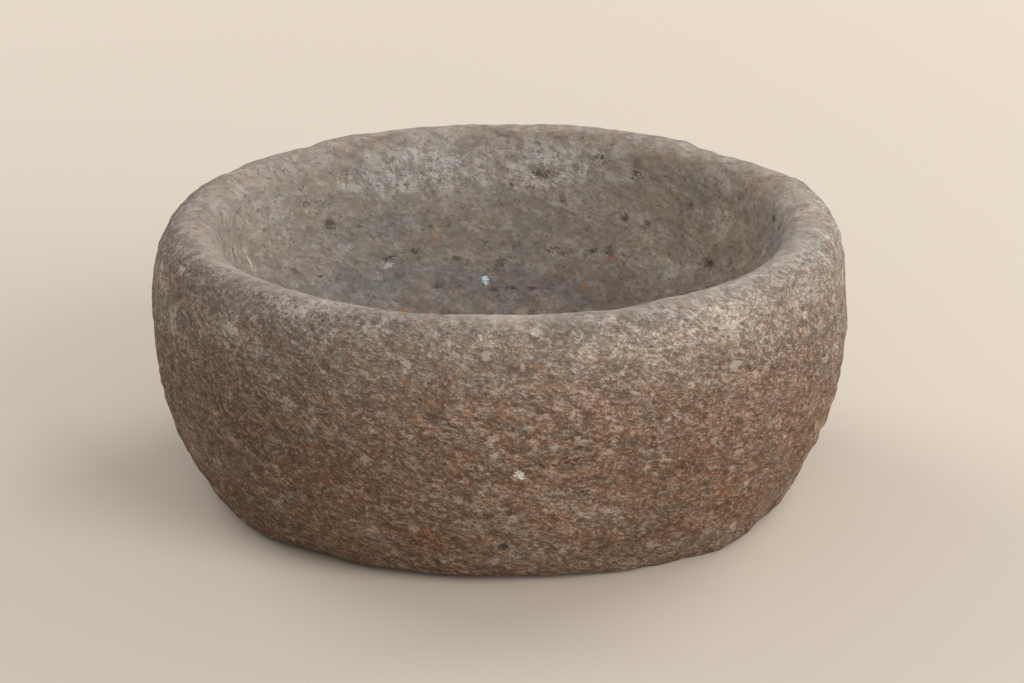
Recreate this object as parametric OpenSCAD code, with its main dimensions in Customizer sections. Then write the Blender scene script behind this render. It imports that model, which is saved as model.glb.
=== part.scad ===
// A hand-carved stone bowl, cut from one block: a round belly on a flat foot,
// a thick rounded rim and a smooth dished hollow.
// Origin: centre of the foot, on the surface that the bowl stands on. +Z is up.
// The outline is a chain of arcs that run into each other, turned about Z.

/* [Bowl] */
// Diameter at the widest part of the belly
bowl_d = 240; // [210:5:300]
// Height from the foot to the crest of the rim
bowl_h = 95; // [88:1:110]
// Height of the widest part of the belly above the foot
belly_z = 64; // [52:1:70]
// Radius of the edge between the wall and the flat foot
heel_r = 10; // [4:1:20]

/* [Rim] */
// Radius of the rim's round section
rim_r = 11; // [7:0.5:14]

/* [Hollow] */
// Thickness of stone under the middle of the hollow
floor_t = 24; // [14:1:34]
// Lean of the hollow's wall from upright, in degrees
wall_lean = 15; // [4:1:20]
// Length of the straight part of the hollow's wall
wall_run = 10; // [2:1:16]
// Radius of the curve from wall to floor, as a share of the largest that fits
cove_share = 0.6; // [0.3:0.05:0.9]

/* [Hidden] */
$fn = 180;

// The belly is part of a ball centred on the axis
belly_r = bowl_d / 2;
belly_c = [0, belly_z];

// The heel's arc touches both the belly and the foot plane
heel_c = [sqrt(pow(belly_r - heel_r, 2) - pow(belly_z - heel_r, 2)), heel_r];

// The rim's circle touches the belly and reaches up to the crest
rim_z = bowl_h - rim_r;
rim_c = [sqrt(pow(belly_r - rim_r, 2) - pow(rim_z - belly_z, 2)), rim_z];

// The hollow's straight wall starts where it touches the rim and runs down and in
wall_normal = [-cos(wall_lean), sin(wall_lean)];
wall_down = [-sin(wall_lean), -cos(wall_lean)];
wall_top = rim_c + rim_r * wall_normal;
wall_foot = wall_top + wall_run * wall_down;

// The cove turns the wall in towards the floor: the largest that fits reaches the floor or the axis
cove_max = min((wall_foot[1] - floor_t) / (1 - sin(wall_lean)), wall_foot[0] / cos(wall_lean));
cove_r = cove_share * cove_max;
cove_c = wall_foot + cove_r * wall_normal;

// The floor is part of a ball centred on the axis that the cove touches from inside
cove_rise = cove_c[1] - floor_t;
dish_r = (pow(cove_c[0], 2) + pow(cove_rise, 2) - pow(cove_r, 2)) / (2 * (cove_rise - cove_r));
dish_c = [0, floor_t + dish_r];

// Part of a disc between two directions from its centre
module sector(centre, radius, toward_a, toward_b) {
    reach = 2 * radius;
    intersection() {
        translate(centre) circle(r = radius);
        polygon([
            centre,
            centre + reach * (toward_a - centre) / norm(toward_a - centre),
            centre + reach * (toward_b - centre) / norm(toward_b - centre)
        ]);
    }
}

// Half section of the belly, the heel and the rim, before the hollow is cut
module outer_section() {
    sector(belly_c, belly_r, heel_c, rim_c);
    translate(heel_c) circle(r = heel_r);
    translate(rim_c) circle(r = rim_r);
    square(heel_c);
    translate([0, heel_r]) square([rim_c[0], rim_z - heel_r]);
    // The stone behind the straight wall, just under the rim's circle
    polygon([rim_c, wall_top, wall_foot]);
}

// Half section of the space inside the bowl
module hollow_section() {
    sector(dish_c, dish_r, cove_c, [0, floor_t]);
    translate(cove_c) circle(r = cove_r);
    polygon([cove_c, wall_foot, wall_top, [0, wall_top[1]]]);
}

module stone_bowl() {
    color([0.47, 0.41, 0.36])
    rotate_extrude()
    difference() {
        outer_section();
        hollow_section();
    }
}

stone_bowl();
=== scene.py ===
"""A hand-carved stone bowl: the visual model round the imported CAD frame, in metres, +Z up.

One closed mesh stands for the CAD node stone_bowl. It follows the CAD outline, and adds what the
carver's hand and use left on it: an uneven rim and belly, pecked dimples, pits, chips and worn edges.
"""
from itertools import product
from math import atan2, ceil, cos, pi, radians, sin, sqrt

import bpy
import numpy as np
from mathutils import Matrix, Vector


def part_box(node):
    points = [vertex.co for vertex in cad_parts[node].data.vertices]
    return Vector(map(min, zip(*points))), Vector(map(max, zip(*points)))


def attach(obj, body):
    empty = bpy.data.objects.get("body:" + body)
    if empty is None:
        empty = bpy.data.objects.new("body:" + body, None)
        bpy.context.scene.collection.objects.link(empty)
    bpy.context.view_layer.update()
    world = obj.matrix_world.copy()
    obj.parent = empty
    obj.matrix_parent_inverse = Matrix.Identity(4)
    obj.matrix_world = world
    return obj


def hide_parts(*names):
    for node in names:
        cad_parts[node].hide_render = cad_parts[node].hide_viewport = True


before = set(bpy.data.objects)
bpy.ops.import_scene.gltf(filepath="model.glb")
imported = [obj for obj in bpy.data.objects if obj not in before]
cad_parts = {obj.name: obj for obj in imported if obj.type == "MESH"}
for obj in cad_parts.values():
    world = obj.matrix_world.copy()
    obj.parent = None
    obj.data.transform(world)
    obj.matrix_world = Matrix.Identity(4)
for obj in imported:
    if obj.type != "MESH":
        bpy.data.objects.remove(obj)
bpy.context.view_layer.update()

MM = 0.001
SEED = 7
OUTSIDE, INSIDE = "outside", "inside"

# ---------------------------------------------------------------- driving dimensions
LOW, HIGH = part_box("stone_bowl")
BOWL_R = (HIGH.x - LOW.x) / 2
BOWL_H = HIGH.z - LOW.z
BELLY_Z = 64 * MM
HEEL_R = 10 * MM
RIM_R = 11 * MM
FLOOR_T = 24 * MM
WALL_LEAN = radians(15)
WALL_RUN = 10 * MM
COVE_SHARE = 0.6

# Spacing of the mesh along the outline; the most and the fewest quads round one ring, and how narrow
# they may get, as a share of the spacing; and where the rings start, in turns from the camera side
STEP = 0.85 * MM
FOOT_STEP = 2.5 * MM
MOST_QUADS = 960
FEWEST_QUADS = 30
NARROWEST = 0.62
SEAM_TURN = 0.19

# The stone's bedding dips to the right, seen from the front. Multiplying by BEDDING gives a place
# along the dip, across it and through the beds
DIP = radians(20)
BEDDING = np.array([[cos(DIP), 0, sin(DIP)], [0, 1, 0], [-sin(DIP), 0, cos(DIP)]])
# How much the lumps, and the finer streaks, are stretched in those three directions
SPOT_STRETCH = (1, 1, 0.72)
STREAK_STRETCH = (1.6, 1.6, 0.65)

# Unevenness, height and size in mm: of the lumps, with how much of them wear takes; of the streaks; and of
# the scaly ledges, with the half-width of their step as a share of the noise that makes them
LUMPS = ((0.40, 32, 0.0), (0.30, 15, 0.0), (0.27, 7.5, 0.65))
STREAKS = ((0.20, 4.2), (0.14, 2.2))
LEDGES = ((0.24, 7, 0.12), (0.24, 3.6, 0.15))
# Peck marks, pits and pale flecks: spacing, depth, and how many of the places for one hold one
PECK_SIZE = 5.5 * MM
PECK_DEPTH = 0.40 * MM
PIT_SIZE = 4.2 * MM
PIT_DEPTH = 1.2 * MM
PIT_SHARE = 0.035
FLECK_SIZE = 4.6 * MM
FLECK_SHARE = 0.16
# How far a single mark reaches through the stone, and how sharp the edge of a broad stain or patch of
# painted light is
MARK_DEPTH = 14 * MM
STAIN_AND_PAINTED_LIGHT_EDGE = 1.6
# How far the edges of the stains and patches of painted light stray, and over what size, in mm
STRAYS = ((2.2, 7), (1.2, 3))

# Side of the square map for the bake, and the gap between its parts
MAP_SIDE = 482 * MM
MAP_GAP = 2 * MM


# ---------------------------------------------------------------- outline
def arc(centre, radius, start, end):
    """Points STEP apart along an arc from angle start to angle end, without its last point."""
    count = max(2, ceil(abs(end - start) * radius / STEP))
    angles = np.linspace(start, end, count, endpoint=False)
    return np.column_stack([centre[0] + radius * np.cos(angles), centre[1] + radius * np.sin(angles)])


def line(start, end, step):
    """Points about step apart from start to end, without the last point."""
    count = max(2, ceil(np.hypot(end[0] - start[0], end[1] - start[1]) / step))
    return np.linspace(start, end, count, endpoint=False)


def bearing_of(a, b):
    """Angle of the direction from point a to point b."""
    return atan2(b[1] - a[1], b[0] - a[0])


def outline():
    """Radius and height from the middle of the foot, round belly and rim, to the middle of the hollow.

    The same chain of arcs as the CAD section. Returns the points and the index of the rim's crest.
    """
    belly = np.array([0, BELLY_Z])
    heel = np.array([sqrt((BOWL_R - HEEL_R) ** 2 - (BELLY_Z - HEEL_R) ** 2), HEEL_R])
    rim_z = BOWL_H - RIM_R
    rim = np.array([sqrt((BOWL_R - RIM_R) ** 2 - (rim_z - BELLY_Z) ** 2), rim_z])
    normal = np.array([-cos(WALL_LEAN), sin(WALL_LEAN)])
    down = np.array([-sin(WALL_LEAN), -cos(WALL_LEAN)])
    wall_top = rim + RIM_R * normal
    wall_foot = wall_top + WALL_RUN * down
    cove_r = COVE_SHARE * (wall_foot[1] - FLOOR_T) / (1 - sin(WALL_LEAN))
    cove = wall_foot + cove_r * normal
    rise = cove[1] - FLOOR_T
    dish_r = (cove[0] ** 2 + rise**2 - cove_r**2) / (2 * (rise - cove_r))
    dish = np.array([0, FLOOR_T + dish_r])
    heel_end = bearing_of(belly, heel)
    rim_start = bearing_of(belly, rim)
    wall_side = pi - WALL_LEAN
    cove_start = -WALL_LEAN
    cove_end = bearing_of(dish, cove)
    outside = [
        line((0, 0), (heel[0], 0), FOOT_STEP),
        arc(heel, HEEL_R, -pi / 2, heel_end),
        arc(belly, BOWL_R, heel_end, rim_start),
        arc(rim, RIM_R, rim_start, pi / 2),
    ]
    inside = [
        arc(rim, RIM_R, pi / 2, wall_side),
        line(wall_top, wall_foot, STEP),
        arc(cove, cove_r, cove_start, cove_end),
        arc(dish, dish_r, cove_end, -pi / 2),
        np.array([[0, FLOOR_T]]),
    ]
    crest = sum(len(part) for part in outside)
    return np.vstack(outside + inside), crest


# ---------------------------------------------------------------- repeatable noise
def hashed(lattice, seed):
    """A repeatable random value from 0 to 1 for each whole-number lattice point."""
    x, y, z = lattice.T
    n = (x * 73856093) ^ (y * 19349663) ^ (z * 83492791) ^ (seed * 40503)
    for shift, factor in ((15, 2246822519), (13, 3266489917)):
        n = ((n ^ (n >> shift)) * factor) & 0xFFFFFFFF
    return ((n ^ (n >> 16)) & 0xFFFFFF) / 0xFFFFFF


def waves(points, size, seed):
    """Smooth random values from -1 to 1 that change over about size."""
    scaled = points / size
    cell = np.floor(scaled).astype(np.int64)
    part = scaled - cell
    blend = part**3 * (part * (part * 6 - 15) + 10)
    total = np.zeros(len(points))
    for corner in product((0, 1), repeat=3):
        weight = np.prod(np.where(corner, blend, 1 - blend), axis=1)
        total += weight * hashed(cell + np.array(corner), seed)
    return total * 2 - 1


def dimples(points, size, seed, keep=1.0):
    """Round hollows about size apart, from 0 outside them to 1 in the middle of the deepest.

    keep is the share of lattice cells that hold one. Their radius is 0.35 to 0.8 of a cell.
    """
    scaled = points / size
    cell = np.floor(scaled).astype(np.int64)
    deepest = np.zeros(len(points))
    for offset in product((-1, 0, 1), repeat=3):
        near = cell + np.array(offset)
        middle = near + np.column_stack([hashed(near, seed + axis) for axis in range(3)])
        reach = 0.35 + 0.45 * hashed(near, seed + 3)
        away = np.sqrt(((scaled - middle) ** 2).sum(axis=1)) / reach
        held = hashed(near, seed + 4) < keep
        deepest = np.maximum(deepest, np.clip(1 - away**2, 0, 1) ** 1.5 * held * reach / 0.8)
    return deepest


# ---------------------------------------------------------------- mesh
def ring_count(radius, step):
    """Quads round a ring, halved as the ring shrinks so that they stay near step wide."""
    count = MOST_QUADS
    while count > FEWEST_QUADS and 2 * pi * radius / count < NARROWEST * step:
        count //= 2
    return count


def build_rings(points):
    """Ring number and turn of every vertex, ring by ring, and the faces between the rings."""
    steps = np.hypot(*np.diff(points, axis=0).T)
    counts = [1] + [ring_count(r, s) for (r, _), s in zip(points[1:-1], steps[1:])] + [1]
    # One ring may have at most twice the quads of the next, so that they can be stitched
    for order in (range(2, len(counts) - 1), range(len(counts) - 3, 0, -1)):
        back = 1 if order.step < 0 else -1
        for i in order:
            counts[i] = min(counts[i], 2 * counts[i + back])
    starts = np.concatenate([[0], np.cumsum(counts)])
    ring_of = np.repeat(np.arange(len(counts)), counts)
    turn = np.concatenate([np.arange(n) / n for n in counts])
    faces = []
    for i in range(len(counts) - 1):
        a, b, low, high = counts[i], counts[i + 1], int(starts[i]), int(starts[i + 1])
        if a == 1:
            faces += [(low, high + (j + 1) % b, high + j) for j in range(b)]
        elif b == 1:
            faces += [(low + j, low + (j + 1) % a, high) for j in range(a)]
        elif a == b:
            faces += [(low + j, low + (j + 1) % a, high + (j + 1) % b, high + j) for j in range(a)]
        elif b == 2 * a:
            for j in range(a):
                near, far = low + j, low + (j + 1) % a
                left, mid, right = high + 2 * j, high + 2 * j + 1, high + (2 * j + 2) % b
                faces += [(near, mid, left), (near, far, mid), (far, right, mid)]
        else:
            for j in range(b):
                near, far = high + j, high + (j + 1) % b
                left, mid, right = low + 2 * j, low + 2 * j + 1, low + (2 * j + 2) % a
                faces += [(left, mid, near), (mid, far, near), (mid, right, far)]
    return ring_of, turn, faces


def outline_normals(points):
    """Unit normals of the outline, pointing out of the stone."""
    along = np.gradient(points, axis=0)
    normals = np.column_stack([along[:, 1], -along[:, 0]])
    normals /= np.linalg.norm(normals, axis=1)[:, None]
    normals[0] = (0, -1)
    normals[-1] = (0, 1)
    return normals


def smoothstep(value, low, high):
    """0 at low, 1 at high, smooth between."""
    t = np.clip((value - low) / (high - low), 0, 1)
    return t * t * (3 - 2 * t)


class Surface:
    """The bowl's smooth surface before carving: every vertex's place, outward normal and side."""

    def __init__(self):
        self.points, self.crest = outline()
        self.ring_of, self.turn, self.faces = build_rings(self.points)
        bearing = (self.turn + SEAM_TURN) * 2 * pi
        radius, self.height = self.points[self.ring_of].T
        normals = outline_normals(self.points)[self.ring_of]
        around = np.column_stack([np.sin(bearing), -np.cos(bearing)])
        self.place = np.column_stack([radius[:, None] * around, self.height])
        self.outward = np.column_stack([normals[:, :1] * around, normals[:, 1]])
        self.inside = self.ring_of >= self.crest
        self.foot_ring = int(np.argmax(self.points[:, 1] > 0)) - 1
        self.from_crest = np.abs(self.along()[self.ring_of] - self.along()[self.crest])

    def along(self):
        """Distance of each ring from the middle of the foot, along the outline."""
        return np.concatenate([[0], np.cumsum(np.hypot(*np.diff(self.points, axis=0).T))])

    def point_at(self, side, bearing, height):
        """The surface point at a bearing in degrees (0 towards the camera, 90 towards +X) and a height."""
        if side == INSIDE:
            heights, radii = self.points[: self.crest - 1 : -1].T[::-1]
        else:
            heights, radii = self.points[self.foot_ring : self.crest + 1].T[::-1]
        radius = np.interp(height, heights, radii)
        return np.array([radius * sin(radians(bearing)), -radius * cos(radians(bearing)), height])

    def within(self, side, bearing, height, wide, tall, stray=0.0, edge=1.0):
        """A soft mask round a surface point: 1 there, fading over wide round the bowl and tall up it.

        stray is how far each place is moved first, which makes the outline ragged, and edge above 1
        makes it fade later and faster.
        """
        middle = self.point_at(side, bearing, height * MM)
        turned = radians(bearing)
        offset = self.place + stray - middle
        round_way = offset[:, 0] * cos(turned) + offset[:, 1] * sin(turned)
        out_way = offset[:, 0] * sin(turned) - offset[:, 1] * cos(turned)
        up_way = offset[:, 2]
        if side == INSIDE:
            # The hollow's wall leans and turns into the floor, so the way down is measured along it
            up_way = np.hypot(up_way, out_way)
            out_way = np.zeros(len(offset))
        away = (round_way / (wide * MM)) ** 2 + (up_way / (tall * MM)) ** 2
        return np.exp(-(away**edge) - (out_way / MARK_DEPTH) ** 2)


# Where the carver left the bowl fuller (+) or leaner (-), as side, bearing in degrees, height,
# spread round the bowl, spread up it and push, all in mm
SWELLS = (
    (OUTSIDE, 47, 4, 26, 12, 2.4),
    (OUTSIDE, 20, 3, 12, 6, 0.8),
    (OUTSIDE, 2, 2, 30, 7, -1.7),
    (OUTSIDE, -33, 3, 20, 8, -1.7),
    (OUTSIDE, -15, 2, 12, 6, -0.6),
    (OUTSIDE, -69, 6, 26, 9, -1.3),
    (OUTSIDE, -79, 30, 24, 16, 0.4),
    (OUTSIDE, -84, 48, 18, 9, -0.3),
    (OUTSIDE, -84, 62, 12, 8, 0.4),
    (OUTSIDE, 59, 6, 12, 9, -1.6),
    (OUTSIDE, 75, 16, 10, 10, -0.8),
    (OUTSIDE, 52, 3, 8, 5, -0.3),
    (OUTSIDE, 83, 54, 14, 12, 0.4),
    (OUTSIDE, 90, 80, 12, 8, 0.35),
    (OUTSIDE, -94, 89, 20, 11, -1.5),
    (OUTSIDE, -86, 76, 14, 10, 0.5),
    (OUTSIDE, -126, 95, 22, 8, -0.8),
    (OUTSIDE, 180, 95, 20, 9, -0.6),
    (OUTSIDE, 108, 92, 13, 10, 0.9),
    (OUTSIDE, 137, 95, 8, 7, -0.9),
    (OUTSIDE, 161, 95, 12, 6, 0.3),
    (OUTSIDE, -161, 95, 12, 6, 0.3),
    (OUTSIDE, -137, 95, 10, 7, -0.7),
    (OUTSIDE, 126, 94, 18, 9, -1.5),
    (OUTSIDE, 6, 95, 42, 7, -0.45),
    (OUTSIDE, 22, 95, 10, 6, -0.8),
    (OUTSIDE, -60, 95, 14, 7, -0.5),
    (OUTSIDE, 150, 30, 34, 22, 1.2),
    (OUTSIDE, -150, 58, 40, 24, -1.3),
    (OUTSIDE, 178, 80, 34, 18, 0.8),
)

# Chips, dents and pits with no colour of their own: side, bearing, height, wide, tall and push
DENTS = (
    (OUTSIDE, -75, 46, 5.0, 2.2, 0.6),
    (OUTSIDE, -75, 41, 6.0, 3.0, -1.0),
    (OUTSIDE, 0.5, 17, 1.8, 1.4, -1.2),
    (OUTSIDE, 14.5, 38, 4.0, 1.2, -0.9),
    (OUTSIDE, 17.5, 36, 4.5, 1.1, -0.7),
    (OUTSIDE, -66, 56, 2.6, 3.6, -0.9),
    (OUTSIDE, 62, 34, 9.0, 4.0, -0.7),
    (OUTSIDE, 38, 58, 10.0, 5.0, -0.5),
    (OUTSIDE, -30, 64, 10.0, 5.0, -0.4),
    (OUTSIDE, -141, 94.5, 3.0, 5.0, -0.45),
    (OUTSIDE, 139.5, 94.5, 2.6, 5.0, -0.6),
    (OUTSIDE, 133, 94.5, 2.2, 5.0, -0.6),
    (INSIDE, 171, 80, 5.0, 2.6, -1.2),
    (INSIDE, 171, 76.5, 5.5, 1.8, 0.7),
    (INSIDE, -157.5, 57, 2.2, 1.5, -1.3),
    (INSIDE, -160.5, 47, 2.4, 1.6, -1.3),
    (INSIDE, 120.5, 62, 3.0, 1.6, -1.4),
    (INSIDE, 156, 57, 2.0, 1.4, -1.4),
    (INSIDE, 150, 68, 1.8, 1.2, -1.2),
    (INSIDE, 149, 84, 3.4, 2.4, -1.0),
    (INSIDE, 151.5, 57, 1.8, 1.4, -1.2),
    (INSIDE, -172, 38, 2.2, 1.6, -1.0),
    (INSIDE, -128, 76, 3.0, 3.4, -0.8),
    (INSIDE, 128, 79, 4.0, 3.0, -0.9),
)

CRYSTAL = (0.90, 0.84, 0.68)
TAN = (0.36, 0.275, 0.22)
PEBBLE = (0.46, 0.405, 0.35)
ROSE = (0.47, 0.40, 0.37)
CREAM = (0.52, 0.44, 0.35)
OCHRE = (0.37, 0.26, 0.155)
ORANGE = (0.33, 0.165, 0.075)
GREEN = (0.34, 0.40, 0.33)
DARK_RED = (0.075, 0.028, 0.022)
DARK = (0.058, 0.043, 0.034)
RUST = (0.25, 0.115, 0.055)
ICE = (0.62, 0.72, 0.80)

# Single grains and stains of another colour, and dark marks at the dents and pits, which are partly the
# stone's own dark brown and partly painted shade: side, bearing, height, wide, tall, share of it that is
# coloured, and colour
GRAINS = (
    (OUTSIDE, 3, 45, 1.9, 1.7, 0.58, CRYSTAL),
    (OUTSIDE, -2, 86, 1.6, 1.7, 0.90, ROSE),
    (OUTSIDE, -1, 52, 1.3, 0.9, 0.7, CREAM),
    (OUTSIDE, -3.5, 33, 3.6, 1.9, 0.44, PEBBLE),
    (OUTSIDE, -21.5, 48, 2.0, 1.5, 0.5, CREAM),
    (OUTSIDE, -20, 58, 1.0, 0.9, 0.6, CREAM),
    (OUTSIDE, -55.5, 29, 4.0, 2.4, 0.42, PEBBLE),
    (OUTSIDE, -44.5, 31, 2.4, 1.6, 0.42, PEBBLE),
    (OUTSIDE, -36.5, 71, 1.0, 0.9, 0.8, CREAM),
    (OUTSIDE, -36.5, 92, 5.0, 2.0, 0.5, CREAM),
    (OUTSIDE, -66, 73, 3.4, 4.6, 0.45, PEBBLE),
    (OUTSIDE, -14.5, 82, 1.8, 1.7, 0.6, CREAM),
    (OUTSIDE, 39.5, 73, 2.6, 2.2, 0.7, CREAM),
    (OUTSIDE, 38.5, 84, 5.0, 2.8, 0.46, PEBBLE),
    (OUTSIDE, 31, 80, 3.0, 1.6, 0.5, CREAM),
    (OUTSIDE, 49.5, 71, 2.0, 0.9, 0.75, CREAM),
    (OUTSIDE, 27, 60, 0.9, 0.8, 0.85, CREAM),
    (OUTSIDE, 45.5, 27, 2.0, 1.6, 0.5, CREAM),
    (OUTSIDE, 18.5, 29, 3.2, 1.9, 0.44, PEBBLE),
    (OUTSIDE, -13.5, 88, 2.8, 1.2, 0.5, OCHRE),
    (OUTSIDE, 0.5, 17, 1.7, 1.3, 0.9, DARK),
    (OUTSIDE, 13.5, 37, 2.6, 1.0, 0.6, DARK),
    (OUTSIDE, 17.5, 38.5, 5.6, 1.7, 0.55, RUST),
    (OUTSIDE, 11, 50, 3.0, 2.0, 0.5, DARK_RED),
    (OUTSIDE, 4, 62, 3.0, 0.9, 0.42, GREEN),
    (OUTSIDE, 44.5, 60, 1.5, 0.9, 0.6, GREEN),
    (OUTSIDE, -9, 21, 1.2, 0.9, 0.7, ORANGE),
    (INSIDE, -175.5, 47, 1.0, 1.9, 0.85, ICE),
    (INSIDE, 172, 39.3, 2.6, 2.0, 0.75, TAN),
    (INSIDE, -145.5, 42, 1.8, 2.0, 0.7, ORANGE),
    (INSIDE, -164, 60, 2.2, 2.4, 0.45, ORANGE),
    (INSIDE, -142.5, 71, 1.3, 1.3, 0.5, ORANGE),
    (INSIDE, 154.5, 47, 1.3, 1.4, 0.7, ORANGE),
    (INSIDE, 171, 80.3, 4.4, 1.8, 0.5, DARK),
    (INSIDE, 171, 76.5, 7.0, 2.0, 0.45, PEBBLE),
    (INSIDE, -105.5, 71, 0.9, 4.0, 0.75, CREAM),
    (INSIDE, -157.5, 57, 2.2, 1.2, 0.62, DARK),
    (INSIDE, -160.5, 47, 2.0, 1.2, 0.6, DARK),
    (INSIDE, 120.5, 62, 2.6, 1.3, 0.65, DARK),
    (INSIDE, 156, 57, 2.2, 1.1, 0.6, DARK),
    (INSIDE, 150, 68, 1.8, 0.9, 0.6, DARK),
    (INSIDE, 151.5, 57, 1.8, 1.0, 0.6, DARK),
    (INSIDE, 166, 56, 3.0, 1.2, 0.45, DARK),
    (INSIDE, 149, 83, 3.0, 2.2, 0.42, DARK),
    (INSIDE, 147, 57, 1.8, 0.9, 0.5, DARK),
    (INSIDE, 163, 55, 2.4, 0.9, 0.45, DARK),
    (INSIDE, 177, 45, 1.8, 1.1, 0.55, DARK),
    (INSIDE, -151, 56, 2.4, 1.0, 0.5, DARK),
    (INSIDE, -153, 51, 2.8, 1.0, 0.42, DARK),
    (INSIDE, -127, 56, 2.4, 1.2, 0.42, DARK),
    (INSIDE, -134, 58, 1.6, 0.9, 0.45, DARK),
    (INSIDE, 158, 88, 1.8, 1.2, 0.6, DARK_RED),
    (INSIDE, 150, 56, 1.4, 1.0, 0.7, ORANGE),
    (INSIDE, 130, 55, 3.2, 1.6, 0.5, PEBBLE),
    (INSIDE, -148, 54, 2.6, 1.6, 0.5, PEBBLE),
)
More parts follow.
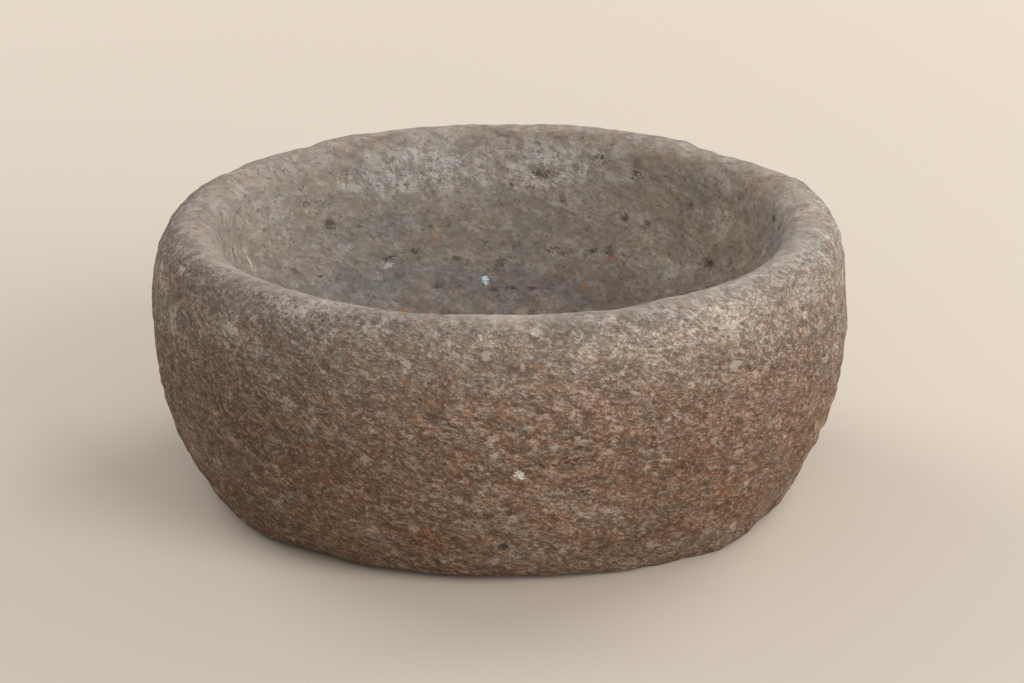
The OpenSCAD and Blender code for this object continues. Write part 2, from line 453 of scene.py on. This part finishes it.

# Broad stains, with some patches of painted light and shade among them: side, bearing, height, wide, tall,
# then how much lighter, redder than blue and greener the stone is there, as natural logarithms, and how
# dusty, from 0 to 1
AREAS = (
    (OUTSIDE, 45, 92, 60, 9, 0.20, -0.02, 0.00, 0.2),
    (OUTSIDE, 0, 92, 30, 6, 0.14, 0.00, 0.00, 0.0),
    (OUTSIDE, -34, 93, 20, 4, 0.20, -0.02, 0.00, 1.0),
    (OUTSIDE, -45, 88, 26, 4, -0.16, 0.04, -0.02, 0.0),
    (OUTSIDE, -64, 89, 14, 7, -0.16, 0.10, -0.03, 0.0),
    (OUTSIDE, -73, 82, 8, 7, 0.22, 0.02, 0.02, 0.3),
    (OUTSIDE, -50, 83, 20, 7, 0.10, 0.00, 0.00, 0.0),
    (OUTSIDE, -45, 79, 15, 6, 0.16, -0.02, 0.02, 0.9),
    (OUTSIDE, -66, 73, 5, 5, 0.20, 0.00, 0.00, 0.7),
    (OUTSIDE, 38, 85, 16, 6, 0.12, 0.00, 0.01, 0.6),
    # Painted light: this row makes the right side paler, as if lit from that side
    (OUTSIDE, 82, 70, 36, 34, 0.20, -0.06, 0.02, 0.0),
    (OUTSIDE, 30, 74, 50, 16, 0.10, 0.00, 0.00, 0.0),
    (OUTSIDE, 20, 86, 22, 5, 0.20, 0.00, 0.00, 0.3),
    (OUTSIDE, -18, 83, 12, 7, 0.10, 0.00, 0.00, 0.0),
    (OUTSIDE, -35, 94, 70, 4, -0.16, 0.00, -0.02, 0.0),
    (OUTSIDE, 35, 94, 40, 3, -0.12, 0.00, 0.00, 0.0),
    (OUTSIDE, -38, 14, 30, 9, -0.10, 0.03, 0.00, 0.0),
    (OUTSIDE, -90, 94, 34, 7, -0.08, 0.02, 0.00, 0.0),
    (OUTSIDE, 90, 93, 40, 9, 0.11, -0.02, 0.00, 0.0),
    (OUTSIDE, 52, 92, 14, 3, -0.14, 0.00, 0.00, 0.0),
    (OUTSIDE, -22, 46, 16, 9, -0.12, 0.03, 0.00, 0.0),
    (OUTSIDE, 10, 67, 9, 6, -0.10, 0.00, 0.00, 0.0),
    (OUTSIDE, 20, 36, 6, 4, 0.14, -0.04, 0.00, 0.0),
    (OUTSIDE, -54, 27, 12, 6, 0.10, -0.02, 0.00, 0.2),
    (OUTSIDE, 45, 40, 40, 28, 0.00, 0.04, -0.025, 0.0),
    # Painted light: this row and the next give the lower left the olive-brown tone of warm light thrown up
    # from below
    (OUTSIDE, -68, 34, 14, 26, 0.00, 0.00, 0.06, 0.0),
    (OUTSIDE, -60, 10, 20, 5, 0.00, 0.00, 0.10, 0.0),
    (OUTSIDE, 71, 30, 9, 10, 0.18, 0.00, 0.04, 0.0),
    (OUTSIDE, -64, 32, 12, 9, 0.06, 0.00, 0.00, 0.2),
    (OUTSIDE, 55, 38, 20, 18, 0.06, 0.04, 0.00, 0.0),
    (OUTSIDE, -34, 45, 26, 9, -0.12, 0.08, 0.00, 0.0),
    (OUTSIDE, 5, 67, 80, 10, 0.02, 0.08, -0.04, 0.0),
    (OUTSIDE, -68, 60, 18, 12, -0.08, 0.14, 0.01, 0.0),
    (OUTSIDE, -30, 57, 10, 6, 0.10, -0.05, 0.00, 0.1),
    (OUTSIDE, -10, 67, 6, 5, -0.14, 0.06, -0.02, 0.0),
    (OUTSIDE, 46, 57, 22, 9, 0.08, -0.04, -0.02, 0.0),
    (OUTSIDE, -25, 33, 14, 10, -0.13, 0.16, -0.01, 0.0),
    (OUTSIDE, -11, 20, 11, 7, -0.22, 0.18, 0.00, 0.0),
    (OUTSIDE, -9, 36, 5, 4, 0.16, 0.00, 0.00, 0.2),
    (OUTSIDE, 15, 32, 13, 9, 0.20, -0.10, 0.00, 0.2),
    (OUTSIDE, 30, 17, 15, 7, -0.18, 0.08, -0.03, 0.0),
    (OUTSIDE, 30, 38, 7, 6, -0.10, 0.09, -0.02, 0.0),
    (OUTSIDE, 38, 26, 8, 7, -0.10, 0.12, -0.01, 0.0),
    (OUTSIDE, 54, 33, 12, 10, 0.10, -0.05, 0.00, 0.0),
    (OUTSIDE, 3, 13, 8, 8, 0.20, -0.10, 0.00, 0.2),
    # Partly dust, partly painted reflected light: this row gives a paler, greyer band low on the right
    (OUTSIDE, 44, 9, 12, 4, 0.06, -0.14, 0.00, 0.4),
    (OUTSIDE, 71, 28, 11, 14, 0.14, 0.04, 0.00, 0.0),
    # Painted light and shade: the next three rows give the lower left a darker, olive-brown tone of warm
    # light thrown up from below
    (OUTSIDE, -55, 16, 18, 7, -0.20, 0.20, 0.10, 0.0),
    (OUTSIDE, -66, 30, 12, 10, 0.12, 0.10, 0.05, 0.0),
    (OUTSIDE, -35, 11, 22, 7, -0.06, 0.12, 0.06, 0.0),
    (OUTSIDE, 140, 66, 30, 20, 0.14, -0.10, 0.00, 0.4),
    (OUTSIDE, -130, 50, 34, 20, 0.10, 0.06, 0.00, 0.3),
    (OUTSIDE, 172, 40, 30, 18, -0.14, 0.08, 0.00, 0.0),
    (INSIDE, 130, 66, 48, 26, 0.18, 0.11, 0.00, 0.0),
    (INSIDE, 112, 80, 20, 20, 0.00, 0.10, 0.00, 0.0),
    (INSIDE, 178, 83, 70, 8, 0.10, -0.04, 0.00, 0.6),
    (INSIDE, -157, 82, 25, 8, 0.13, -0.08, 0.01, 0.9),
    (INSIDE, -125, 84, 20, 9, 0.10, -0.02, 0.00, 0.1),
    (INSIDE, 165, 84, 18, 7, 0.10, -0.02, 0.00, 0.6),
    (INSIDE, 122, 76, 8, 7, 0.20, -0.04, 0.00, 0.6),
    (INSIDE, 142, 91, 16, 4, -0.30, 0.18, -0.05, 0.0),
    (INSIDE, 112, 93, 12, 6, -0.20, 0.12, 0.00, 0.0),
    (INSIDE, 170, 93, 60, 3, -0.30, 0.12, -0.05, 0.0),
    (INSIDE, -150, 93, 26, 3, -0.20, 0.06, -0.05, 0.0),
    (INSIDE, 128, 92, 20, 4, -0.20, 0.08, 0.00, 0.0),
    (INSIDE, 132, 57, 12, 4, 0.26, -0.06, 0.00, 0.3),
    (INSIDE, 145, 47, 30, 7, 0.02, 0.08, 0.00, 0.0),
    (INSIDE, -140, 50, 34, 8, -0.08, -0.14, 0.01, 0.0),
    (INSIDE, -125, 66, 22, 14, 0.02, -0.04, 0.01, 0.0),
    (INSIDE, -150, 66, 18, 8, -0.16, -0.08, 0.01, 0.0),
    (INSIDE, 175, 46, 40, 7, -0.16, -0.03, -0.04, 0.0),
    (INSIDE, 175, 57, 16, 4, -0.16, 0.02, -0.02, 0.0),
)


def less(mask, share):
    """A factor that takes a share away where the mask is 1."""
    return 1 - share * mask


def relief(bowl, grit, lip, pits):
    """How far every vertex is pushed out of the stone."""
    bedded = bowl.place @ BEDDING
    spot = bedded / SPOT_STRETCH
    streak = bedded / STREAK_STRETCH
    push = -PECK_DEPTH * dimples(bowl.place, PECK_SIZE, SEED + 10) * less(lip, 0.6) - PIT_DEPTH * pits
    for number, (height, size, worn) in enumerate(LUMPS):
        push += less(1 - grit, worn) * height * MM * waves(spot, size * MM, SEED + number)
    for number, (height, size) in enumerate(STREAKS, len(LUMPS)):
        push += grit * height * MM * waves(streak, size * MM, SEED + number)
    for number, (height, size, half) in enumerate(LEDGES, len(LUMPS) + len(STREAKS)):
        step = smoothstep(waves(streak, size * MM, SEED + number), -half, half) - 0.5
        push += grit * height * MM * step
    for side, bearing, height, wide, tall, amount in SWELLS + DENTS:
        push += amount * MM * bowl.within(side, bearing, height, wide, tall)
    # The foot stays flat apart from shallow hollows
    foot_radius = bowl.points[bowl.foot_ring, 0]
    on_foot = smoothstep(foot_radius - np.hypot(*bowl.place[:, :2].T), 0, 5 * MM) * (bowl.height < 1 * MM)
    return push * (1 - on_foot) + on_foot * np.minimum(0.5 * push - 0.1 * MM, 0)


def stains_and_painted_light(bowl, inside):
    """How rusty and dusty the stone is, from 0 to 1, and the tint that its colour is multiplied by. The
    rust and the tint also hold painted light: warm bounce light low down and on the lower left, and a
    paler right side.
    """
    spot = bowl.place @ BEDDING / SPOT_STRETCH
    outside = 1 - inside
    rise = bowl.height / BOWL_H
    # Rustier towards the foot outside: partly the stone's own rust, partly painted warm bounce light from
    # below
    rust_and_painted_bounce = outside * (0.95 * (1 - rise**3.5) + 0.08 * waves(spot, 12 * MM, SEED + 40))
    rust_and_painted_bounce += inside * (0.05 + 0.10 * waves(spot, 12 * MM, SEED + 41))
    # As natural logarithms: lighter, redder than blue, and greener. Outside, the stone is paler towards
    # the rim; paler towards the right is painted light from the lit side, and redder below is partly the
    # stone's own colour and partly painted warm bounce light from below; inside, it is paler and greener
    # high up
    upper = smoothstep(bowl.height, 46 * MM, 78 * MM)
    lighter = outside * (0.06 + 0.08 * upper + 0.06 * bowl.place[:, 0] / BOWL_R)
    lighter += inside * (0.07 * smoothstep(bowl.height, 64 * MM, 76 * MM) - 0.05)
    lighter += 0.05 * waves(spot, 14 * MM, SEED + 30) + 0.05 * waves(spot, 34 * MM, SEED + 31)
    redder = outside * (0.12 - 0.05 * upper) + inside * 0.01
    greener = inside * (0.035 * smoothstep(bowl.height, 46 * MM, 58 * MM) - 0.01)
    dust = np.zeros(len(rust_and_painted_bounce))
    stray = np.zeros(bowl.place.shape)
    for number, (reach, size) in enumerate(STRAYS):
        moves = [waves(bowl.place, size * MM, SEED + 60 + 10 * number + axis) for axis in range(3)]
        stray += reach * MM * np.column_stack(moves)
    for side, bearing, height, wide, tall, light, red, green, dusty in AREAS:
        within = bowl.within(side, bearing, height, wide, tall, stray, STAIN_AND_PAINTED_LIGHT_EDGE)
        lighter += light * within
        redder += red * within
        greener += green * within
        dust += dusty * within
    logs = [lighter + redder / 2, lighter + greener / 2, lighter - redder / 2, np.zeros(len(rust_and_painted_bounce))]
    return np.clip(rust_and_painted_bounce, 0, 1), np.clip(dust, 0, 1), np.exp(np.column_stack(logs))


def coloured_grains(bowl):
    """Colour of the single grains of another colour, with the share of the stone that they take."""
    mark = np.zeros((len(bowl.place), 4))
    for side, bearing, height, wide, tall, share, colour in GRAINS:
        strength = share * np.clip(1.5 * bowl.within(side, bearing, height, wide, tall), 0, 1)
        stronger = strength > mark[:, 3]
        mark[stronger, 3] = strength[stronger]
        mark[stronger, :3] = colour
    return mark


def carve(bowl):
    """The carved place of every vertex, and the masks and colours that the material reads."""
    into = np.where(bowl.inside, bowl.from_crest, -bowl.from_crest)
    lip = smoothstep(into, -9 * MM, 2 * MM) * (1 - smoothstep(into, 6 * MM, 16 * MM))
    inside = smoothstep(into, 2 * MM, 12 * MM)
    shoulder = (1 - inside) * smoothstep(bowl.height, 64 * MM, 84 * MM)
    # The hollow, the lip and the shoulder are worn smoother than the belly
    grit = less(inside, 0.68) * less(lip, 0.7) * less(shoulder, 0.25)
    pits = dimples(bowl.place, PIT_SIZE, SEED + 20, PIT_SHARE) * less(1 - inside, 0.65) * less(lip, 0.8)
    flecks = dimples(bowl.place, FLECK_SIZE, SEED + 50, FLECK_SHARE) * less(inside, 0.5) * less(lip, 0.6)
    place = bowl.place + bowl.outward * relief(bowl, grit, lip, pits)[:, None]
    place[:, 2] = np.maximum(place[:, 2], 0)
    rust_and_painted_bounce, dust, tint = stains_and_painted_light(bowl, inside)
    masks = {"rust_and_painted_bounce": rust_and_painted_bounce, "dust": dust, "grit": grit, "lip": lip, "pit": pits, "fleck": flecks}
    return place, masks, {"mark": coloured_grains(bowl), "tint": tint}


def lay_out(mesh, bowl):
    """The map for the bake: the outside wall as two strips, the hollow and the foot as discs."""
    along = bowl.along()
    start, crest = along[bowl.foot_ring], along[bowl.crest]
    widths = bowl.points[1:, 0] + bowl.points[:-1, 0]
    areas = np.concatenate([[0], np.cumsum(np.diff(along) * widths)])
    hollow_radius = np.sqrt(areas[-1] - areas)
    corners = np.empty(len(mesh.loops), dtype=np.int64)
    mesh.loops.foreach_get("vertex_index", corners)
    sizes = np.empty(len(mesh.polygons), dtype=np.int64)
    mesh.polygons.foreach_get("loop_total", sizes)
    face_of = np.repeat(np.arange(len(sizes)), sizes)
    starts = np.concatenate([[0], np.cumsum(sizes)[:-1]])
    ring, turn = bowl.ring_of[corners], bowl.turn[corners]
    # A face across the seam has corners at both ends of the turn: bring its low ones round
    high = np.maximum.reduceat(turn, starts)[face_of]
    turn = np.where(high - turn > 0.5, turn + 1, turn)
    middle_turn = (np.add.reduceat(turn, starts) / sizes)[face_of]
    middle_ring = (np.add.reduceat(ring, starts) / sizes)[face_of]
    on_wall = (middle_ring > bowl.foot_ring) & (middle_ring < bowl.crest)
    in_hollow = middle_ring > bowl.crest
    strip = np.floor(middle_turn * 2)
    wall_u = MAP_GAP + (turn * 2 - strip) * (MAP_SIDE - 2 * MAP_GAP)
    wall_v = MAP_GAP + strip * (crest - start + 2 * MAP_GAP) + along[ring] - start
    wall = np.column_stack([wall_u, wall_v])
    around = np.column_stack([np.cos(turn * 2 * pi), np.sin(turn * 2 * pi)])
    top = 2 * (crest - start) + 4 * MAP_GAP
    hollow_size = hollow_radius[bowl.crest]
    hollow = around * hollow_radius[ring][:, None] + (hollow_size + MAP_GAP, top + hollow_size)
    foot_size = MAP_SIDE / 2 - hollow_size - 2 * MAP_GAP
    foot = around * (along[ring] / start * foot_size)[:, None]
    foot += (2 * hollow_size + 2 * MAP_GAP + foot_size, top + foot_size)
    uv = np.where(on_wall[:, None], wall, np.where(in_hollow[:, None], hollow, foot))
    layer = mesh.uv_layers.new(name="OFBake")
    layer.data.foreach_set("uv", (uv / MAP_SIDE).astype(np.float32).ravel())


def make_bowl():
    bowl = Surface()
    place, masks, colours = carve(bowl)
    mesh = bpy.data.meshes.new("carved_stone")
    mesh.from_pydata(place.tolist(), [], bowl.faces)
    for name, values in masks.items():
        layer = mesh.attributes.new(name, "FLOAT", "POINT")
        layer.data.foreach_set("value", values.astype(np.float32))
    for name, values in colours.items():
        layer = mesh.attributes.new(name, "FLOAT_COLOR", "POINT")
        layer.data.foreach_set("color", values.astype(np.float32).ravel())
    lay_out(mesh, bowl)
    mesh.shade_smooth()
    mesh.update()
    stone = bpy.data.objects.new("carved_stone", mesh)
    bpy.context.scene.collection.objects.link(stone)
    return stone


# ---------------------------------------------------------------- materials
class Nodes:
    """Short calls for building a material's nodes."""

    def __init__(self, name):
        self.material = bpy.data.materials.new(name)
        self.material.use_nodes = True
        self.tree = self.material.node_tree
        self.tree.nodes.clear()

    def add(self, kind, inputs=None, **settings):
        node = self.tree.nodes.new(kind)
        for key, value in settings.items():
            setattr(node, key, value)
        for key, value in (inputs or {}).items():
            self.feed(node.inputs[key], value)
        return node

    def feed(self, socket, value):
        if isinstance(value, bpy.types.NodeSocket):
            self.tree.links.new(value, socket)
        else:
            socket.default_value = value

    def math(self, operation, *values):
        node = self.add("ShaderNodeMath", operation=operation)
        for socket, value in zip(node.inputs, values):
            self.feed(socket, value)
        return node.outputs[0]

    def times(self, a, b):
        return self.math("MULTIPLY", a, b)

    def plus(self, base, value, factor):
        """The base, and the value times the factor."""
        return self.math("MULTIPLY_ADD", value, factor, base)

    def centred(self, value):
        """A value from 0 to 1, moved to lie round 0."""
        return self.math("SUBTRACT", value, 0.5)

    def ramp(self, value, low, high, to_low=0.0, to_high=1.0):
        """to_low where the value is low, to_high where it is high, smooth between."""
        node = self.add("ShaderNodeMapRange", interpolation_type="SMOOTHSTEP")
        names = ("Value", "From Min", "From Max", "To Min", "To Max")
        for name, item in zip(names, (value, low, high, to_low, to_high)):
            self.feed(node.inputs[name], item)
        return node.outputs[0]

    def mix(self, share, a, b, blend="MIX"):
        node = self.add("ShaderNodeMix", data_type="RGBA", blend_type=blend)
        self.feed(node.inputs["Factor"], share)
        self.feed(node.inputs[6], a)
        self.feed(node.inputs[7], b)
        return node.outputs[2]

    def palette(self, value, colours):
        """A colour for value from 0 to 1, along evenly spaced colours."""
        node = self.add("ShaderNodeValToRGB", {"Fac": value})
        stops = node.color_ramp.elements
        while len(stops) < len(colours):
            stops.new(0.5)
        for i, colour in enumerate(colours):
            stops[i].position = i / (len(colours) - 1)
            stops[i].color = rgb(*colour)
        return node.outputs["Color"]

    def noise(self, vector, size_mm, detail, roughness, output="Fac"):
        inputs = {"Vector": vector, "Scale": 1 / size_mm, "Detail": detail, "Roughness": roughness}
        return self.add("ShaderNodeTexNoise", inputs).outputs[output]

    def vector(self, operation, a, b):
        node = self.add("ShaderNodeVectorMath", operation=operation)
        self.feed(node.inputs[0], a)
        self.feed(node.inputs[1], b)
        return node.outputs[0]

    def split(self, colour):
        return self.add("ShaderNodeSeparateColor", {"Color": colour}).outputs

    def cells(self, vector, size_mm):
        return self.add("ShaderNodeTexVoronoi", {"Vector": vector, "Scale": 1 / size_mm})

    def attribute(self, name, output="Fac"):
        return self.add("ShaderNodeAttribute", attribute_name=name).outputs[output]


def rgb(r, g, b):
    return (r, g, b, 1.0)


# The stone from its darkest grains to its palest, where it isn't rusty and where it is; low on the
# outside, the rusty one also carries painted warm bounce light from below
GREY_STONE = ((0.115, 0.090, 0.071), (0.225, 0.189, 0.158), (0.53, 0.49, 0.445))
RUSTY_STONE = ((0.078, 0.040, 0.0215), (0.164, 0.096, 0.057), (0.44, 0.328, 0.250))
DUST = (0.38, 0.35, 0.31)

# Grains, clusters and lumps of stone: size in mm, and how far their borders are bent, in mm
GRAIN_LEVELS = ((0.85, 2.2), (2.1, 4.5), (5.0, 9.0))
# Places are in mm, squeezed through the beds because the grain lies flat, and stretched for the smears
FLAT = (1000, 1000, 1750)
FLATTER = (1000, 1000, 2000)
UPRIGHT = (1000, 1000, 480)

# How much the coarser levels change the stone's lightness, where it is worn and where it isn't
CLUSTER_TONES = (0.11, 0.20)
LUMP_TONES = (0.11, 0.17)
WORN_TO_FRESH = (0.2, 1.0)

# Rare grains of another colour, as the random value from which they show, the one where they show
# fully, their strength then, and their colour; and rare clusters in the same way
RARE_GRAINS = ((0.97, 1.0, 0.6, CREAM), (0.03, 0.0, 0.6, RUST), (0.09, 0.07, 0.25, DARK_RED))
RARE_CLUSTERS = ((0.955, 0.99, 0.4, CREAM), (0.045, 0.01, 0.5, ORANGE))


def stone_material():
    n = Nodes("pecked_stone")
    coords = n.add("ShaderNodeTexCoord").outputs["Object"]
    turning = {"Vector": coords, "Angle": -DIP}
    bedded = n.add("ShaderNodeVectorRotate", turning, rotation_type="Y_AXIS").outputs[0]
    spot, broad = (n.vector("MULTIPLY", bedded, squeeze) for squeeze in (FLAT, FLATTER))
    upright = n.vector("MULTIPLY", coords, UPRIGHT)
    rust_and_painted_bounce, dust, grit, lip, pit, fleck = map(n.attribute, ("rust_and_painted_bounce", "dust", "grit", "lip", "pit", "fleck"))
    fineness = n.ramp(grit, 0.1, 1.0, 0.09, 0.85)

    # Grains, clusters and lumps, each with its own tone and hue; bent so that no two have the same shape
    bend = n.noise(spot, 1 / 0.45, 3.0, 0.75, "Color")
    grains, clusters, lumps = (
        n.cells(n.vector("ADD", spot, n.vector("MULTIPLY", bend, (sway, sway, sway))), size)
        for size, sway in GRAIN_LEVELS
    )
    tone, hue, kind = n.split(grains.outputs["Color"])
    cluster_tone, cluster_hue, cluster_kind = n.split(clusters.outputs["Color"])
    lump_tone, lump_hue, _ = n.split(lumps.outputs["Color"])
    fine = n.centred(n.noise(spot, 2.2, 4.0, 0.95))
    patch = n.centred(n.noise(broad, 8.0, 3.0, 0.7))
    blotch = n.centred(n.noise(broad, 5.0, 4.0, 0.85))

    # Lightness: the grain's own and the finest noise, less where the stone is worn; then what is coarser
    light = n.plus(n.times(fine, 2.2), n.centred(tone), 0.50)
    light = n.times(light, fineness)
    light = n.plus(light, n.centred(cluster_tone), n.ramp(grit, *WORN_TO_FRESH, *CLUSTER_TONES))
    light = n.plus(light, n.centred(lump_tone), n.ramp(grit, *WORN_TO_FRESH, *LUMP_TONES))
    light = n.plus(n.math("ADD", light, 0.5), patch, 0.5)
    # The lip is a little lighter: partly its worn stone, partly a painted highlight along the rim
    light = n.plus(light, lip, 0.04)
    # Pale clusters have ragged edges, and dust holds in upright smears
    ragged = n.plus(n.plus(n.times(cluster_tone, 0.5), tone, -0.3), fine, 2.6)
    pale = n.ramp(n.math("ADD", fleck, ragged), 0.36, 0.92)
    smears = n.plus(n.noise(upright, 3.2, 3.0, 0.65), fine, 1.2)
    dusty = n.times(n.ramp(smears, 0.44, 0.66), dust)
    light = n.plus(n.plus(light, dusty, 0.20), n.times(pale, fineness), 0.40)
    colour = n.mix(rust_and_painted_bounce, n.palette(light, GREY_STONE), n.palette(light, RUSTY_STONE))

    # Hue changes from grain to grain without making them darker
    warm = n.plus(n.plus(-0.2, hue, 0.4), blotch, 1.4)
    warm = n.plus(n.plus(n.math("SUBTRACT", warm, 0.7), lump_hue, 0.7), cluster_hue, 0.7)
    warm = n.times(warm, n.plus(0.20, rust_and_painted_bounce, 0.24))
    # Where the stone is rusty, its dark grains are the redder ones
    warm = n.plus(warm, n.math("SUBTRACT", 0.5, light), n.times(rust_and_painted_bounce, 0.28))
    warmth = n.add("ShaderNodeCombineColor")
    for socket, factor in zip(warmth.inputs, (0.5, -0.06, -0.5)):
        n.feed(socket, n.plus(1.0, warm, factor))
    colour = n.mix(1.0, colour, warmth.outputs[0], "MULTIPLY")
    rusty = n.times(n.ramp(warm, 0.20, 0.60, 0, 0.35), rust_and_painted_bounce)
    colour = n.mix(rusty, colour, rgb(*RUST))

    # Rare grains and clusters, dark pits, dust, and the broad stains, with the painted light and shade
    # among them
    rare = n.plus(kind, blotch, 0.25)
    for low, high, strength, shade in RARE_GRAINS:
        colour = n.mix(n.times(n.ramp(rare, low, high, 0, strength), fineness), colour, rgb(*shade))
    rare = n.plus(cluster_kind, fine, 0.2)
    for low, high, strength, shade in RARE_CLUSTERS:
        colour = n.mix(n.times(n.ramp(rare, low, high, 0, strength), grit), colour, rgb(*shade))
    # The pits are darkened: partly their own dark brown, partly painted shade in the hollows
    pitted = n.ramp(n.math("SUBTRACT", pit, ragged), 0.10, 0.40, 0, 0.6)
    colour = n.mix(pitted, colour, rgb(*DARK))
    colour = n.mix(n.times(dusty, 0.35), colour, rgb(*DUST))
    colour = n.mix(1.0, colour, n.attribute("tint", "Color"), "MULTIPLY")
    # A mark takes the grains one by one, fewer towards its edge
    mark = n.add("ShaderNodeAttribute", attribute_name="mark").outputs
    taken = n.plus(n.plus(n.times(tone, -0.9), fine, 3.0), mark["Alpha"], 1.7)
    colour = n.mix(n.ramp(taken, 0.20, 0.50, 0, 0.9), colour, mark["Color"])

    # Every grain is a low dome, and the lip is rubbed a little glossier
    dome = n.math("SUBTRACT", 0.5, grains.outputs["Distance"])
    height = n.plus(n.plus(n.times(dome, 0.18), tone, 0.10), fine, 2.3)
    bump = {"Height": n.times(height, fineness), "Strength": 1.0, "Distance": 0.9 * MM}
    normal = n.add("ShaderNodeBump", bump).outputs[0]
    rough = n.plus(n.ramp(light, 0.2, 0.9, 0.92, 0.74), lip, -0.12)
    looks = {"Base Color": colour, "Roughness": rough, "Specular IOR Level": 0.35, "Normal": normal}
    shader = n.add("ShaderNodeBsdfPrincipled", looks)
    n.add("ShaderNodeOutputMaterial", {"Surface": shader.outputs[0]})
    return n.material


def floor_material():
    n = Nodes("pale_floor")
    shader = n.add("ShaderNodeBsdfPrincipled", {"Base Color": rgb(0.62, 0.54, 0.45), "Roughness": 0.8})
    n.add("ShaderNodeOutputMaterial", {"Surface": shader.outputs[0]})
    return n.material


# ---------------------------------------------------------------- stage
CAMERA_PITCH = radians(19.73)
CAMERA_ROLL = radians(-0.23)
CAMERA_AWAY = 11 * BOWL_R
CAMERA_AIM = Vector((0.034 * BOWL_R, 0, 0.402 * BOWL_R))
# In mm, as Blender has them
CAMERA_LENS = 133.2
SENSOR_WIDTH = 36.0

FLOOR_HALF = 4.0

# Soft lights: bearing and elevation seen from the bowl, in degrees, and power in watts
LIGHTS = (
    ("key", 45, 25, 36),
    ("fill", 0, 25, 9),
    ("back_right", 135, 25, 29),
    ("back_left", 225, 25, 25),
)
LIGHT_AIM = Vector((0, 0, 50 * MM))
LIGHT_AWAY = 2.2
LIGHT_SIZE = 1.5
LIGHT_COLOUR = (1.0, 0.985, 0.965)
SKY_COLOUR = (0.97, 0.985, 1.0)
SKY_STRENGTH = 0.40


def make_camera():
    data = bpy.data.cameras.new("camera")
    data.sensor_width = SENSOR_WIDTH
    data.lens = CAMERA_LENS
    camera = bpy.data.objects.new("camera", data)
    bpy.context.scene.collection.objects.link(camera)
    back = Vector((0, -cos(CAMERA_PITCH), sin(CAMERA_PITCH)))
    facing = (-back).to_track_quat("-Z", "Y").to_matrix() @ Matrix.Rotation(CAMERA_ROLL, 3, "Z")
    camera.matrix_world = Matrix.Translation(CAMERA_AIM + back * CAMERA_AWAY) @ facing.to_4x4()
    bpy.context.scene.camera = camera


def make_floor():
    mesh = bpy.data.meshes.new("floor")
    corners = [(x * FLOOR_HALF, y * FLOOR_HALF, 0) for x, y in ((-1, -1), (1, -1), (1, 1), (-1, 1))]
    mesh.from_pydata(corners, [], [(0, 1, 2, 3)])
    floor = bpy.data.objects.new("floor", mesh)
    bpy.context.scene.collection.objects.link(floor)
    mesh.materials.append(floor_material())


def make_lights():
    """The soft lights round the bowl, and an even sky."""
    for name, bearing, elevation, power in LIGHTS:
        turned, raised = radians(bearing), radians(elevation)
        way = Vector((cos(raised) * sin(turned), -cos(raised) * cos(turned), sin(raised)))
        data = bpy.data.lights.new(name, "AREA")
        data.shape = "DISK"
        data.size = LIGHT_SIZE
        data.energy = power
        data.color = LIGHT_COLOUR
        light = bpy.data.objects.new(name, data)
        bpy.context.scene.collection.objects.link(light)
        light.location = LIGHT_AIM + way * LIGHT_AWAY
        light.rotation_mode = "QUATERNION"
        light.rotation_quaternion = (-way).to_track_quat("-Z", "Y")
    world = bpy.data.worlds.new("studio")
    world.use_nodes = True
    background = world.node_tree.nodes["Background"].inputs
    background["Color"].default_value = rgb(*SKY_COLOUR)
    background["Strength"].default_value = SKY_STRENGTH
    bpy.context.scene.world = world


make_camera()
bowl = make_bowl()
bowl.data.materials.append(stone_material())
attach(bowl, "root")
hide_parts("stone_bowl")
make_floor()
make_lights()
bpy.context.scene.view_settings.view_transform = "Standard"
